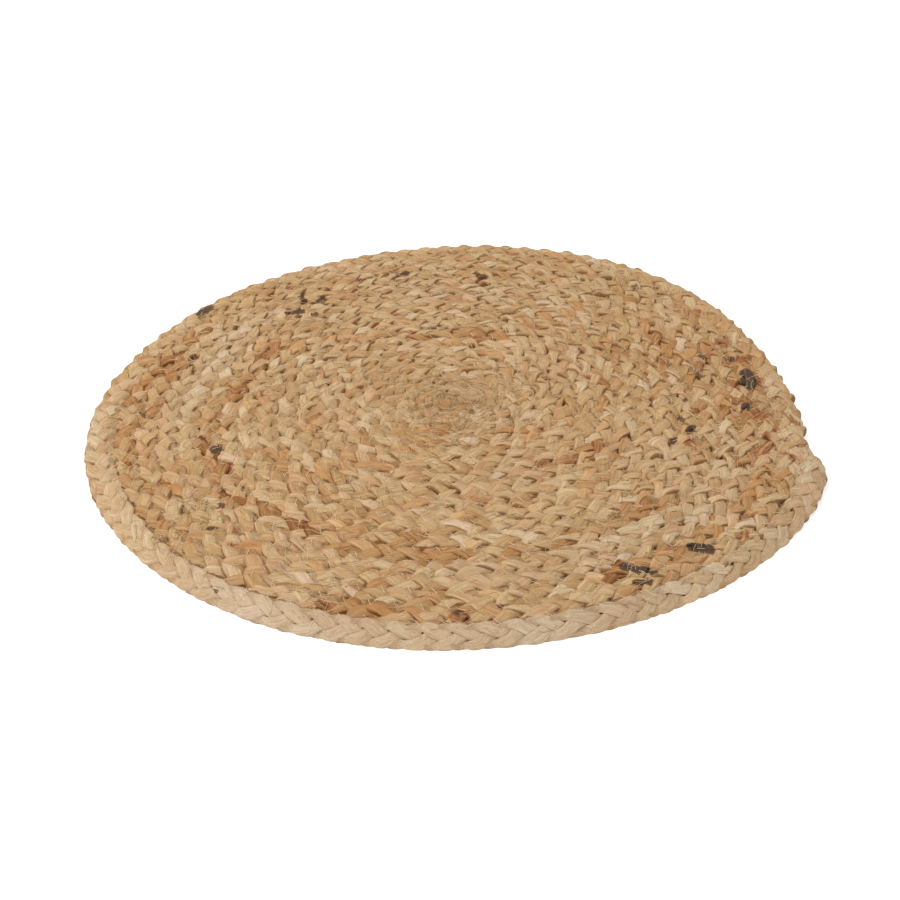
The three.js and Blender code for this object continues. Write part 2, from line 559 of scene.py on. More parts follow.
class Graph:
    """Adds nodes to one node tree and links them."""

    def __init__(self, tree):
        self.tree = tree

    def add(self, kind, settings=None, values=None, output=0):
        """Adds a node, sets it, fills or links its inputs, and returns one of its outputs."""
        node = self.tree.nodes.new(kind)
        for key, value in (settings or {}).items():
            setattr(node, key, value)
        for key, value in (values or {}).items():
            self.fill(self.find(node.inputs, key), value)
        return Socket(self, self.find(node.outputs, output))

    @staticmethod
    def find(sockets, key):
        """The usable socket with that name, or at that place among the usable ones."""
        usable = [socket for socket in sockets if socket.enabled]
        if isinstance(key, int):
            return usable[key]
        return next(socket for socket in usable if socket.name == key)

    def fill(self, socket, value):
        """Links an output to an input, several outputs to a joining input, or sets the input's own value."""
        for item in value if isinstance(value, list) else [value]:
            if isinstance(item, Socket):
                self.tree.links.new(item.output, socket)
            else:
                socket.default_value = item

    def math(self, operation, *values):
        """One step of arithmetic, on vectors if any of the values is one."""
        vectors = [isinstance(v, (tuple, Vector)) or getattr(v, "is_vector", False) for v in values]
        if not any(vectors):
            return self.add("ShaderNodeMath", {"operation": operation}, dict(enumerate(values)))
        if operation == "MULTIPLY" and not all(vectors):
            vector, factor = values if vectors[0] else reversed(values)
            return self.add("ShaderNodeVectorMath", {"operation": "SCALE"}, {0: vector, "Scale": factor})
        return self.add("ShaderNodeVectorMath", {"operation": operation}, dict(enumerate(values)))

    def sin(self, angle):
        return self.math("SINE", angle)

    def cos(self, angle):
        return self.math("COSINE", angle)

    def mix(self, factor, low, high):
        """A value between low and high."""
        return low + (high - low) * factor

    def vector(self, x, y, z):
        return self.add("ShaderNodeCombineXYZ", {}, {0: x, 1: y, 2: z})

    def parts(self, vector):
        """The three components of a vector."""
        first = self.add("ShaderNodeSeparateXYZ", {}, {0: vector})
        return [Socket(self, output) for output in first.output.node.outputs]

    def noise(self, place, scale, detail=2.0, dimensions="3D"):
        """Smooth noise about 0.5."""
        key = "W" if dimensions == "1D" else "Vector"
        return self.add(
            "ShaderNodeTexNoise",
            {"noise_dimensions": dimensions},
            {key: place, "Scale": scale, "Detail": detail},
        )

    def stray(self, place, length):
        """Slow ups and downs along a line, mostly between -1 and 1."""
        return (self.noise(place, 1 / length, 1.0, "1D") - 0.5) * 4

    def step(self, value, low, high):
        """0 below low, 1 above high and an easy slope between them."""
        return self.add(
            "ShaderNodeMapRange",
            {"interpolation_type": "SMOOTHSTEP"},
            {"Value": value, "From Min": low, "From Max": high},
        )


class FieldGraph(Graph):
    """A Geometry Nodes tree with named inputs."""

    SOCKETS = {float: "NodeSocketFloat", int: "NodeSocketInt"}

    def __init__(self, name, sizes, kinds):
        super().__init__(bpy.data.node_groups.new(name, "GeometryNodeTree"))
        face = self.tree.interface
        face.new_socket("Geometry", in_out="OUTPUT", socket_type="NodeSocketGeometry")
        face.new_socket("Geometry", in_out="INPUT", socket_type="NodeSocketGeometry")
        for key, value in sizes.items():
            face.new_socket(key, in_out="INPUT", socket_type=self.SOCKETS[type(value)])
        for key, kind in kinds.items():
            face.new_socket(key, in_out="INPUT", socket_type=kind)
        self.group = self.tree.nodes.new("NodeGroupInput")

    def input(self, name):
        return Socket(self, self.group.outputs[name])

    def attribute(self, name, kind="FLOAT"):
        return self.add("GeometryNodeInputNamedAttribute", {"data_type": kind}, {"Name": name})

    def store(self, geometry, name, value, kind="FLOAT"):
        """Keeps a value on each point under a name."""
        return self.add(
            "GeometryNodeStoreNamedAttribute",
            {"data_type": kind, "domain": "POINT"},
            {"Geometry": geometry, "Name": name, "Value": value},
        )

    def finish(self, mesh):
        """Smooths, realizes and colours the mesh, and hands it to the group's output."""
        smooth = self.add("GeometryNodeSetShadeSmooth", {}, {0: mesh})
        real = self.add("GeometryNodeRealizeInstances", {}, {"Geometry": smooth})
        done = self.add(
            "GeometryNodeSetMaterial", {}, {"Geometry": real, "Material": self.input("Material")}
        )
        out = self.tree.nodes.new("NodeGroupOutput")
        self.tree.links.new(done.output, out.inputs[0])
        return self.tree


def made_mesh(piece, tree, values):
    """Runs a Geometry Nodes tree on a piece with those inputs and leaves its result as a plain mesh."""
    modifier = piece.modifiers.new(tree.name, "NODES")
    modifier.node_group = tree
    for item in tree.interface.items_tree:
        if item.in_out == "INPUT" and item.name in values:
            modifier[item.identifier] = values[item.name]
    bpy.context.view_layer.update()
    shown = piece.evaluated_get(bpy.context.evaluated_depsgraph_get())
    mesh = bpy.data.meshes.new_from_object(shown)
    piece.modifiers.clear()
    line = piece.data
    piece.data = mesh
    bpy.data.meshes.remove(line)
    mesh.name = piece.name
    if not mesh.polygons:
        raise RuntimeError(f"{piece.name} came out empty")
    return mesh


def length_setting(name, description, default):
    """A setting in metres."""
    return FloatProperty(name=name, description=description, default=default, unit="LENGTH")


def angle_setting(name, description, degrees):
    return FloatProperty(name=name, description=description, default=math.radians(degrees), subtype="ANGLE")


def plain_setting(name, description, default):
    return FloatProperty(name=name, description=description, default=default)


def whole_setting(name, description, default):
    return IntProperty(name=name, description=description, default=default)


def colour_setting(name, description, default):
    return FloatVectorProperty(name=name, description=description, default=default, subtype="COLOR", size=4)


class PLACEMAT_PG_braid(bpy.types.PropertyGroup):
    """Sizes of the braid."""

    period: length_setting("Period", "Length of braid in which a strand comes round again", 38.0 * MM)
    swing: plain_setting(
        "Swing", "How far a strand runs out to each side, as a share of the turn's width", 0.43)
    rise: length_setting("Rise", "How far a strand runs over the others", 1.0 * MM)
    sink: length_setting("Sink", "How far a strand runs under the others", 1.35 * MM)
    leaf_half_width: plain_setting(
        "Leaf half width", "Half the width of a leaf, as a share of the turn's width", 0.33)
    leaf_half_height: length_setting("Leaf half height", "Half the thickness of a leaf", 1.8 * MM)
    cross_half_width: plain_setting(
        "Cross half width", "Half width in the braid's middle, as a share of the turn's width", 0.28)
    edge_half_width: plain_setting(
        "Edge half width", "Half width where a strand turns over, as a share of the turn's width", 0.22)
    edge_half_height: length_setting(
        "Edge half height", "Half the thickness where a strand turns over", 2.3 * MM)
    under_half_width: plain_setting(
        "Under half width", "Half width under the others, as a share of the turn's width", 0.53)
    under_half_height: length_setting("Under half height", "Half the thickness under the others", 3.2 * MM)
    edge_drop: length_setting(
        "Edge drop", "How much lower a strand is where it turns over, in the seam", 1.4 * MM)
    leaf_roll: angle_setting("Leaf roll", "How far a leaf slopes down to the braid's edge", 14)
    lean: angle_setting("Lean", "How far each turn leans outwards", 4)
    rim_lean: angle_setting("Rim lean", "How far the outermost turn leans outwards at the front", 42)
    rim_sink: length_setting("Rim sink", "How much lower the leaning rim's middle line is", 2.2 * MM)
    middle_height: length_setting(
        "Middle height", "Height of the braid's middle line above the table", 4.9 * MM)
    unevenness: length_setting("Unevenness", "How far leaves stray from an even braid", 0.9 * MM)
    swelling: plain_setting("Swelling", "How much the strands' width varies, as a share of it", 0.3)
    twist: angle_setting("Twist", "How far a strand rolls to one side or the other", 17)
    drift: angle_setting("Drift", "How far the leaves crowd together or spread along the braid", 28)
    ridges: plain_setting("Ridges", "Depth of the ridges along a strand, as a share of its size", 0.6)
    rings: whole_setting("Rings", "Sections of a strand in one period", 24)
    sides: whole_setting("Sides", "Corners of a strand's section", 14)
    seed: whole_setting("Seed", "Choice of random leaves", 3)


class PLACEMAT_PG_thread(bpy.types.PropertyGroup):
    """Sizes of the sewing thread."""

    stitch: length_setting("Stitch", "Length along the seam from one side to the other", 5.75 * MM)
    reach: length_setting("Reach", "How far a stitch reaches to each side of the seam", 2.7 * MM)
    radius: length_setting("Radius", "Half the thickness of the thread", 0.17 * MM)
    slant: length_setting("Slant", "How much shorter the way out is than the way back", 2.75 * MM)
    depth: length_setting("Depth", "How deep the thread runs in the braid on its way back", 1.2 * MM)
    spacing: length_setting("Spacing", "Length of one straight piece of thread", 1.1 * MM)
    seed: whole_setting("Seed", "Choice of uneven stitches", 5)


class PLACEMAT_PG_fibres(bpy.types.PropertyGroup):
    """Number and sizes of the loose fibres."""

    count: whole_setting("Count", "Fibres all over the mat", 3900)
    shortest: length_setting("Shortest", "Length of the shortest fibres", 3.0 * MM)
    longest: length_setting("Longest", "Length of the longest fibres", 15.0 * MM)
    bow: plain_setting("Bow", "How far a fibre bows sideways, as a share of its length", 0.35)
    curl: length_setting("Curl", "How far the end of a fibre may stand up", 2.2 * MM)
    radius: length_setting("Radius", "Half the thickness of a fibre", 0.1 * MM)
    segments: whole_setting("Segments", "Straight pieces in a fibre", 6)
    seed: whole_setting("Seed", "Choice of fibres", 8)


class PLACEMAT_PG_stage(bpy.types.PropertyGroup):
    """Floor and light."""

    floor_glow: plain_setting("Floor glow", "Strength of the floor's own light, as on a light table", 0.55)
    floor_size: length_setting("Floor size", "Side of the square floor", 24.0)
    sky: plain_setting("Sky", "Strength of the even light from all round", 0.715)
    key: plain_setting("Key", "Power of the soft light, in watts", 10.4)
    softness: length_setting("Softness", "Side of the square soft light", 1.5)


class PLACEMAT_PG_colours(bpy.types.PropertyGroup):
    """Colours of the jute, the thread, the loose fibres and the floor."""

    cream: colour_setting("Cream", "The palest jute", linear(226, 204, 173))
    straw: colour_setting("Straw", "Pale jute", linear(215, 184, 142))
    tan: colour_setting("Tan", "Jute of a middling tone", linear(201, 161, 114))
    brown: colour_setting("Brown", "Browner jute", linear(188, 137, 87))
    dark_brown: colour_setting("Dark brown", "The brownest jute", linear(152, 100, 60))
    bleached: colour_setting("Bleached", "Jute of the paler runs", linear(213, 192, 167))
    rust: colour_setting("Rust", "Rust brown marks", linear(160, 98, 58))
    bark: colour_setting("Bark", "Bark left on the fibre", linear(72, 58, 50))
    bark_line: colour_setting("Bark line", "Lighter lines in the bark", linear(114, 93, 76))
    bark_edge: colour_setting("Bark edge", "Thin bark round the dark marks", linear(128, 92, 66))
    thread: colour_setting("Thread", "Sewing thread", linear(234, 214, 180))
    pale_fibre: colour_setting("Pale fibre", "The palest loose fibres", linear(236, 212, 168))
    tan_fibre: colour_setting("Tan fibre", "Most loose fibres", linear(214, 180, 128))
    brown_fibre: colour_setting("Brown fibre", "The brownest loose fibres", linear(150, 106, 66))
    floor: colour_setting("Floor", "The pale floor", (0.65, 0.65, 0.65, 1.0))


class PLACEMAT_PG_sizes(bpy.types.PropertyGroup):
    """All settings of the placemat."""

    braid: PointerProperty(type=PLACEMAT_PG_braid)
    thread: PointerProperty(type=PLACEMAT_PG_thread)
    fibres: PointerProperty(type=PLACEMAT_PG_fibres)
    stage: PointerProperty(type=PLACEMAT_PG_stage)
    colours: PointerProperty(type=PLACEMAT_PG_colours)


def tree_inputs(group, *left_out):
    """A group's settings, but for those left out, under their names as inputs of a tree."""
    keys = [key for key in type(group).__annotations__ if key not in left_out]
    return {group.bl_rna.properties[key].name: getattr(group, key) for key in keys}


def flattened(wave, flatness):
    """A wave between -1 and 1 with flatter tops and steeper slopes."""
    return wave * (1 + flatness - flatness * wave * wave)


def sharpened(wave):
    """A wave between -1 and 1 with straighter slopes and sharper turns."""
    return wave.graph.math("ARCSINE", wave * SWAY_SHARPNESS) / math.asin(SWAY_SHARPNESS)


def squared(part):
    """A part of a unit circle's point, moved out to squarer shoulders."""
    graph = part.graph
    return graph.math("SIGN", part) * graph.math("POWER", graph.math("ABSOLUTE", part), SECTION_POWER)


def strand_tree(sizes):
    """A strand's path through the braid, swept with a flat section that narrows at the braid's edges."""
    graph = FieldGraph("strand", sizes, {"Material": "NodeSocketMaterial"})
    along, width = graph.attribute("path_along"), graph.attribute("path_width")
    rim, tuck = graph.attribute("path_rim"), graph.attribute("path_tuck")
    outward = graph.attribute("path_outward", "FLOAT_VECTOR")
    strand = graph.input("Strand")
    own = along + strand * STRAND_OFFSET

    # Over the others from an edge to the middle, then under them to the other edge
    drift = graph.stray(along, DRIFT_LENGTH) * graph.input("Drift")
    phase = along * (2 * math.pi) / graph.input("Period") + strand * (2 * math.pi / STRANDS) + drift
    shape = -graph.sin(phase * 2)
    over = flattened(shape, PATH_FLATNESS)
    leaf_share, under_share = graph.math("MAXIMUM", over, 0.0), graph.math("MAXIMUM", -over, 0.0)
    stray = graph.stray(own, STRAY_LENGTH) * graph.input("Unevenness")
    swell = graph.stray(own + STRANDS * STRAND_OFFSET, STRAY_LENGTH) * (1 - RIM_EVENNESS * rim)
    wave = graph.sin(phase)
    leaning = graph.attribute("path_leaning")
    rounded = graph.step(wave, *RIM_OUTER) * graph.math("MAXIMUM", leaning, rim * RIM_ROUNDED)
    sway = graph.mix(rounded, sharpened(wave), flattened(wave, RIM_ROUNDNESS))
    across = sway * width * graph.input("Swing") + stray * (1 - rim)
    flatness = (1 - TUCK_FLATNESS * tuck) * (1 - MIDDLE_FLATNESS * graph.attribute("path_middle"))
    flatness = flatness * (1 - RIM_FLATNESS * rim)
    height = (leaf_share * graph.input("Rise") - under_share * graph.input("Sink")) * flatness
    height = height + swell * graph.input("Unevenness") * SWELL_RISE
    edge_drop = graph.input("Edge drop") * (1 - leaning)
    height = height - edge_drop * graph.math("POWER", graph.math("ABSOLUTE", sway), EDGE_POWER)

    # The braid leans outwards, most at the rim, which lies on the slope down to the table.
    lean = graph.mix(leaning, graph.input("Lean"), graph.input("Rim lean"))
    leaning_out = outward * graph.cos(lean) - graph.vector(0.0, 0.0, graph.sin(lean))
    leaning_up = outward * graph.sin(lean) + graph.vector(0.0, 0.0, graph.cos(lean))
    middle = graph.input("Middle height") - graph.input("Rim sink") * leaning - TUCK_DROP * tuck
    place = graph.add("GeometryNodeInputPosition")
    centre = place + leaning_out * across + leaning_up * height + graph.vector(0.0, 0.0, middle)
    curve = graph.add("GeometryNodeMeshToCurve", {}, {"Mesh": graph.input("Geometry")})
    curve = graph.store(curve, "path_lean", leaning_up, "FLOAT_VECTOR")
    curve = graph.add("GeometryNodeSetPosition", {}, {"Geometry": curve, "Position": centre})

    # Two axes of the strand's section, rolled so that a leaf slopes down to the edge
    tangent = graph.add("GeometryNodeInputTangent")
    lean_up = graph.attribute("path_lean", "FLOAT_VECTOR")
    flat_side = graph.math("NORMALIZE", graph.math("CROSS_PRODUCT", tangent, lean_up))
    flat_rise = graph.math("CROSS_PRODUCT", flat_side, tangent)
    twist = graph.stray(own + 2 * STRANDS * STRAND_OFFSET, STRAY_LENGTH) * graph.input("Twist")
    twist = twist * (1 - RIM_EVENNESS * rim)
    roll = graph.input("Leaf roll") * graph.sin(phase) * over * math.sqrt(2) + twist
    side = flat_side * graph.cos(roll) - flat_rise * graph.sin(roll)
    rise = flat_side * graph.sin(roll) + flat_rise * graph.cos(roll)
    fullness = 1 + RIM_FULLNESS * rim
    leaf_width = graph.input("Leaf half width") * fullness
    cross_width = graph.input("Cross half width") * fullness
    half_width = graph.mix(wave * wave, cross_width, graph.input("Edge half width"))
    half_width = graph.mix(graph.math("MAXIMUM", shape, 0.0), half_width, leaf_width)
    under_width = graph.input("Under half width") * (1 - UNDER_NARROWING * rim)
    half_width = graph.mix(under_share, half_width, under_width)
    half_width = half_width * width * (1 + swell * graph.input("Swelling"))
    edge_height = graph.input("Edge half height") * (1 + RIM_FULLNESS * leaning)
    half_height = graph.mix(leaf_share, edge_height, graph.input("Leaf half height"))
    half_height = graph.mix(under_share, half_height, graph.input("Under half height"))
    curve = graph.store(curve, "path_centre", graph.add("GeometryNodeInputPosition"), "FLOAT_VECTOR")
    curve = graph.store(curve, "path_side", side, "FLOAT_VECTOR")
    curve = graph.store(curve, "path_rise", rise, "FLOAT_VECTOR")
    curve = graph.store(curve, "path_half_width", half_width)
    curve = graph.store(curve, "path_half_height", half_height)

    # Each leaf has its own number, which changes where the strand is hidden, and its own colour.
    leaf = graph.add(
        "FunctionNodeFloatToInt", {"rounding_mode": "FLOOR"}, {"Float": phase / math.pi - LEAF_BREAK})
    curve = graph.store(curve, "leaf", leaf)
    # Painted shade: how far the strand runs under the others, for the material to darken its colour there
    depth = under_share * (1 - MIDDLE_LIGHTNESS * graph.attribute("path_middle"))
    curve = graph.store(curve, "deep", depth)
    for offset, name in enumerate(("leaf_shade", "leaf_hue")):
        seed = graph.input("Seed") + strand + offset * STRANDS
        chance = graph.add("FunctionNodeRandomValue", {"data_type": "FLOAT"}, {"ID": leaf, "Seed": seed})
        curve = graph.store(curve, name, chance)
    batch_place = own + 3 * STRANDS * STRAND_OFFSET
    curve = graph.store(curve, "batch", graph.noise(batch_place, 1 / BATCH_LENGTH, 2.0, "1D"))

    # The section is a rounded rectangle with ridges that run along the strand.
    ring = graph.add(
        "GeometryNodeCurvePrimitiveCircle", {}, {"Resolution": graph.input("Sides"), "Radius": 1.0})
    ring = graph.store(ring, "path_section", graph.add("GeometryNodeInputPosition"), "FLOAT_VECTOR")
    tube = graph.add(
        "GeometryNodeCurveToMesh", {}, {"Curve": curve, "Profile Curve": ring, "Fill Caps": True})
    section = graph.attribute("path_section", "FLOAT_VECTOR")
    right, top, _ = (squared(part) for part in graph.parts(section))
    ridge_place = section * RIDGE_COUNT + graph.vector(0.0, 0.0, own / RIDGE_LENGTH)
    ridge = 1 + (graph.noise(ridge_place, 1.0, 1.0) - 0.5) * graph.input("Ridges")
    flank = graph.math("ABSOLUTE", right)
    right = right * graph.attribute("path_half_width") * ridge
    top = top * graph.attribute("path_half_height") * ridge
    skin = (
        graph.attribute("path_centre", "FLOAT_VECTOR")
        + graph.attribute("path_side", "FLOAT_VECTOR") * right
        + graph.attribute("path_rise", "FLOAT_VECTOR") * top
    )
    x, y, z = graph.parts(skin)
    skin = graph.vector(x, y, graph.math("MAXIMUM", z, 0.0))
    # How far out to the side of its section a point lies; the material paints shade there
    tube = graph.store(tube, "flank", flank)
    tube = graph.store(tube, "fibre", graph.vector(own, right, top), "FLOAT_VECTOR")
    tube = graph.add("GeometryNodeSetPosition", {}, {"Geometry": tube, "Position": skin})
    tube = graph.add("GeometryNodeFlipFaces", {}, {"Mesh": tube})  # so that they point outwards
    tube = graph.add(
        "GeometryNodeRemoveAttribute", {"pattern_mode": "WILDCARD"}, {"Geometry": tube, "Name": "path_*"})
    return graph.finish(tube)


STRAND_INPUTS = {f"Strand {number + 1}": "NodeSocketObject" for number in range(STRANDS)}


def draped(graph, curve, lift, pulls):
    """Lays a curve's points on the strands and pulls them straight across the hollows."""
    strands = [
        graph.add("GeometryNodeObjectInfo", {}, {"Object": graph.input(name)}, "Geometry")
        for name in STRAND_INPUTS
    ]
    target = graph.add("GeometryNodeJoinGeometry", {}, {"Geometry": strands})
    x, y, z = graph.parts(graph.add("GeometryNodeInputPosition"))
    hit = graph.add(
        "GeometryNodeRaycast",
        {},
        {
            "Target Geometry": target,
            "Source Position": graph.vector(x, y, RAY_HEIGHT),
            "Ray Direction": (0.0, 0.0, -1.0),
            "Ray Length": RAY_HEIGHT,
        },
        "Hit Position",
    )
    found = graph.parts(hit)[2]
    height = z + (found - z) * hit.other("Is Hit")
    taut = graph.add("GeometryNodeBlurAttribute", {}, {"Value": height, "Iterations": pulls})
    height = graph.math("MAXIMUM", height, taut) + lift
    return graph.add(
        "GeometryNodeSetPosition", {}, {"Geometry": curve, "Position": graph.vector(x, y, height)})


def swept(graph, curve):
    """A curve made into a thin tube."""
    ring = graph.add(
        "GeometryNodeCurvePrimitiveCircle", {}, {"Resolution": YARN_SIDES, "Radius": graph.input("Radius")})
    tube = graph.add(
        "GeometryNodeCurveToMesh", {}, {"Curve": curve, "Profile Curve": ring, "Fill Caps": True})
    return graph.add(
        "GeometryNodeRemoveAttribute", {"pattern_mode": "WILDCARD"}, {"Geometry": tube, "Name": "path_*"})


def thread_tree(sizes):
    """A zigzag of stitches across a seam, which shows on its way out and is hidden on its way back."""
    graph = FieldGraph("thread", sizes, {"Material": "NodeSocketMaterial", **STRAND_INPUTS})
    seam = graph.add("GeometryNodeMeshToCurve", {}, {"Mesh": graph.input("Geometry")})
    stitches = graph.add(
        "GeometryNodeResampleCurve", {"mode": "LENGTH"}, {"Curve": seam, "Length": graph.input("Stitch")})
    number = graph.add("GeometryNodeInputIndex")
    side = graph.math("MODULO", number, 2.0) * 2 - 1
    chance = graph.add(
        "FunctionNodeRandomValue", {"data_type": "FLOAT"},
        {"Min": STITCH_RANGE[0], "Max": STITCH_RANGE[1], "ID": number, "Seed": graph.input("Seed")})
    outward = graph.attribute("path_outward", "FLOAT_VECTOR")
    slant = graph.add("GeometryNodeInputTangent") * ((side + 1) * -0.5 * graph.input("Slant"))
    offset = outward * (side * chance * graph.input("Reach")) + slant
    stitches = graph.store(stitches, "path_number", number)
    stitches = graph.add("GeometryNodeSetPosition", {}, {"Geometry": stitches, "Offset": offset})
    stitches = graph.add(
        "GeometryNodeResampleCurve", {"mode": "LENGTH"},
        {"Curve": stitches, "Length": graph.input("Spacing")})
    part = graph.math("FRACT", graph.attribute("path_number") / 2)
    hidden = graph.step(graph.math("ABSOLUTE", part - MID_STITCH), *HIDDEN_RANGE)
    lift = graph.input("Radius") * YARN_LIFT - hidden * graph.input("Depth")
    return graph.finish(swept(graph, draped(graph, stitches, lift, THREAD_PULLS)))


def fibre_tree(sizes):
    """Bowed loose fibres, laid on the strands with lifted ends."""
    graph = FieldGraph("loose fibres", sizes, {"Material": "NodeSocketMaterial", **STRAND_INPUTS})
    points = graph.add("GeometryNodeMeshToPoints", {}, {"Mesh": graph.input("Geometry")})
    arc = graph.add(
        "GeometryNodeCurveQuadraticBezier", {},
        {
            "Resolution": graph.input("Segments"),
            "Start": (-0.5, 0.0, 0.0),
            "Middle": (0.0, 1.0, 0.0),
            "End": (0.5, 0.0, 0.0),
        })
    length = graph.attribute("path_length")
    fibres = graph.add(
        "GeometryNodeInstanceOnPoints", {},
        {
            "Points": points,
            "Instance": arc,
            "Rotation": graph.vector(0.0, 0.0, graph.attribute("path_heading")),
            "Scale": graph.vector(length, length * graph.attribute("path_bow"), 1.0),
        })
    fibres = graph.add("GeometryNodeRealizeInstances", {}, {"Geometry": fibres})
    end = graph.add("GeometryNodeSplineParameter")
    curl = graph.math("POWER", end, CURL_POWER) * graph.attribute("path_curl")
    lift = curl + graph.input("Radius") * YARN_LIFT
    return graph.finish(swept(graph, draped(graph, fibres, lift, FIBRE_PULLS)))


def photo_pixels(points):
    """Columns and rows at which points of the mat appear in the photograph."""
    seen = points - np.array(CAMERA_AIM)
    depth = CAMERA_DISTANCE - seen @ CAMERA_BACK
    columns = PHOTO_SIZE / 2 + FOCAL * seen[:, 0] / depth
    return columns, PHOTO_SIZE / 2 - FOCAL * (seen @ CAMERA_UP) / depth


def mat_place(column, row, height):
    """The place at that height above the table which appears at that pixel of the photograph."""
    right, up = (column - PHOTO_SIZE / 2) / FOCAL, (PHOTO_SIZE / 2 - row) / FOCAL
    eye = np.array(CAMERA_AIM) + CAMERA_DISTANCE * CAMERA_BACK
    sight = np.array([right, 0.0, 0.0]) + up * CAMERA_UP - CAMERA_BACK
    return eye + sight * ((height - eye[2]) / sight[2])


def paint_marks(mesh, name, marks):
    """Stores how strongly each point of a strand is marked. A mark keeps to the leaves it lies on most."""
    points = np.empty(len(mesh.vertices) * 3, np.float32)
    mesh.vertices.foreach_get("co", points)
    points = points.reshape(-1, 3).astype(float)
    leaf = np.empty(len(points), np.float32)
    mesh.attributes["leaf"].data.foreach_get("value", leaf)
    leaf = (leaf - leaf.min()).astype(int)
    columns, rows = photo_pixels(points)
    upper = (points[:, 2] > points[:, 2].max() / 2).astype(float)
    corners = np.maximum(np.bincount(leaf, upper), 1)
    amount = np.zeros(len(points))
    for mark in marks:
        slope = math.radians(mark.slope)
        right, down = columns - mark.column, rows - mark.row
        forward = right * math.cos(slope) - down * math.sin(slope)
        sideways = right * math.sin(slope) + down * math.cos(slope)
        distance = np.linalg.norm([forward / mark.half_length, sideways / mark.half_width], MARK_NORM, axis=0)
        covered = np.bincount(leaf, upper * (distance < MARK_REACH)) / corners
        if covered.max() > 0:
            held = smoothstep(covered / covered.max(), *MARK_HOLD)[leaf]
            amount = np.maximum(amount, mark.strength * held * (1 - smoothstep(distance, *MARK_EDGE)))
    mesh.attributes.new(name, "FLOAT", "POINT").data.foreach_set("value", amount.astype(np.float32))


class ShaderGraph(Graph):
    """A material's node tree with its shader."""

    def __init__(self, material):
        material.use_nodes = True
        super().__init__(material.node_tree)
        self.shader = self.tree.nodes["Principled BSDF"]

    def attribute(self, name, output="Fac"):
        return self.add("ShaderNodeAttribute", {"attribute_name": name}, {}, output)

    def blend(self, factor, low, high, blend_type="MIX"):
        """A colour between two."""
        return self.add(
            "ShaderNodeMix",
            {"data_type": "RGBA", "blend_type": blend_type},
            {"Factor": factor, "A": low, "B": high},
        )

    def ramp(self, value, stops):
        """A colour that goes through the stops, each a position and a colour."""
        node = self.tree.nodes.new("ShaderNodeValToRGB")
        elements = node.color_ramp.elements
        while len(elements) < len(stops):
            elements.new(1.0)
        for element, (position, colour) in zip(elements, stops):
            element.position = position
            element.color = colour
        self.fill(node.inputs["Fac"], value)
        return Socket(self, node.outputs["Color"])

    def grain(self, place, grain):
        """Noise drawn out into lines along a strand."""
        across = 1 / grain.thickness
        return self.noise(place * (1 / grain.length, across, across), 1.0, grain.detail)

    def set(self, shine=None, **values):
        """Fills inputs of the shader."""
        if shine is not None:
            self.fill(self.shader.inputs["Specular IOR Level"], shine)
        for key, value in values.items():
            self.fill(self.shader.inputs[key.replace("_", " ").title()], value)


def jute_material(colours):
    """Bundles of jute fibre: streaks along the strand, leaves of different tan, and bark left on some, with
    shade painted under other strands and at the sides of the leaves.
    """
    material = bpy.data.materials.new("braided jute")
    graph = ShaderGraph(material)
    fibre = graph.attribute("fibre", "Vector")
    bundle, streak, hair = (graph.grain(fibre, grain) for grain in (BUNDLES, STREAKS, HAIRS))

    pale, warm = graph.attribute("pale"), graph.attribute("warm")
    leaf = graph.attribute("leaf_shade")
    tone = TONE + (leaf - 0.5) * LEAF_TONES + (graph.attribute("batch") - 0.5) * BATCH_TONES
    tone = tone + (bundle - 0.5) * BUNDLE_TONES + (streak - 0.5) * STREAK_TONES
    tone = tone + warm * (leaf + WARM_LEAST) * WARM_TONES - pale * PALE_TONE
    shades = (colours.cream, colours.straw, colours.tan, colours.brown, colours.dark_brown)
    colour = graph.ramp(tone, tuple(zip(TONE_STOPS, shades)))
    hue = graph.ramp(graph.attribute("leaf_hue"), LEAF_HUES)
    colour = graph.blend(1.0, colour, hue, "MULTIPLY")
    colour = graph.blend(pale * PALE_COVER, colour, colours.bleached)

    rust = graph.step(graph.attribute("rust") + (bundle - 0.5) * RUST_BREAKING, *RUST_RANGE)
    colour = graph.blend(rust * RUST_COVER, colour, colours.rust)
    bark = graph.attribute("bark") + (streak - 0.5) * BARK_BREAKING
    dark = graph.blend(graph.step(hair, *BARK_HAIRS), colours.bark, colours.bark_line)
    dark = graph.blend(graph.step(bark, *BARK_CORE), colours.bark_edge, dark)
    colour = graph.blend(graph.step(bark, *BARK_RANGE), colour, dark)

    smooth = pale * PALE_SMOOTHNESS
    for lines, grain in ((streak, STREAKS), (hair, HAIRS)):
        share = graph.mix(smooth, graph.step(lines, *grain.contrast), grain.evened)
        colour = graph.blend(1.0, colour, graph.blend(share, grain.dark, grain.light), "MULTIPLY")
    # Painted shade where the strand runs under others
    colour = graph.blend(graph.attribute("deep") * PAINTED_UNDER_SHADE_COVER, colour, colour * PAINTED_UNDER_SHADE)
    # Painted shade at the sides of each leaf, for the dark lines between leaves
    flank = graph.step(graph.attribute("flank"), *PAINTED_SIDE_SHADE_RANGE)
    colour = graph.blend(flank * PAINTED_SIDE_SHADE_COVER, colour, colour * PAINTED_SIDE_SHADE)
    relief = graph.add("ShaderNodeBump", {}, {
        "Strength": RELIEF_STRENGTH, "Distance": RELIEF_DEPTH, "Height": streak + hair * HAIR_RELIEF})
    graph.set(base_color=colour, roughness=JUTE_ROUGHNESS, normal=relief, shine=JUTE_SHINE)
    return material


def yarn_material(name, shades):
    """Thin yarn or fibre whose shade differs from one to the next."""
    material = bpy.data.materials.new(name)
    graph = ShaderGraph(material)
    colour = graph.ramp(graph.attribute("tint"), shades)
    graph.set(base_color=colour, roughness=YARN_ROUGHNESS, shine=YARN_SHINE)
    return material


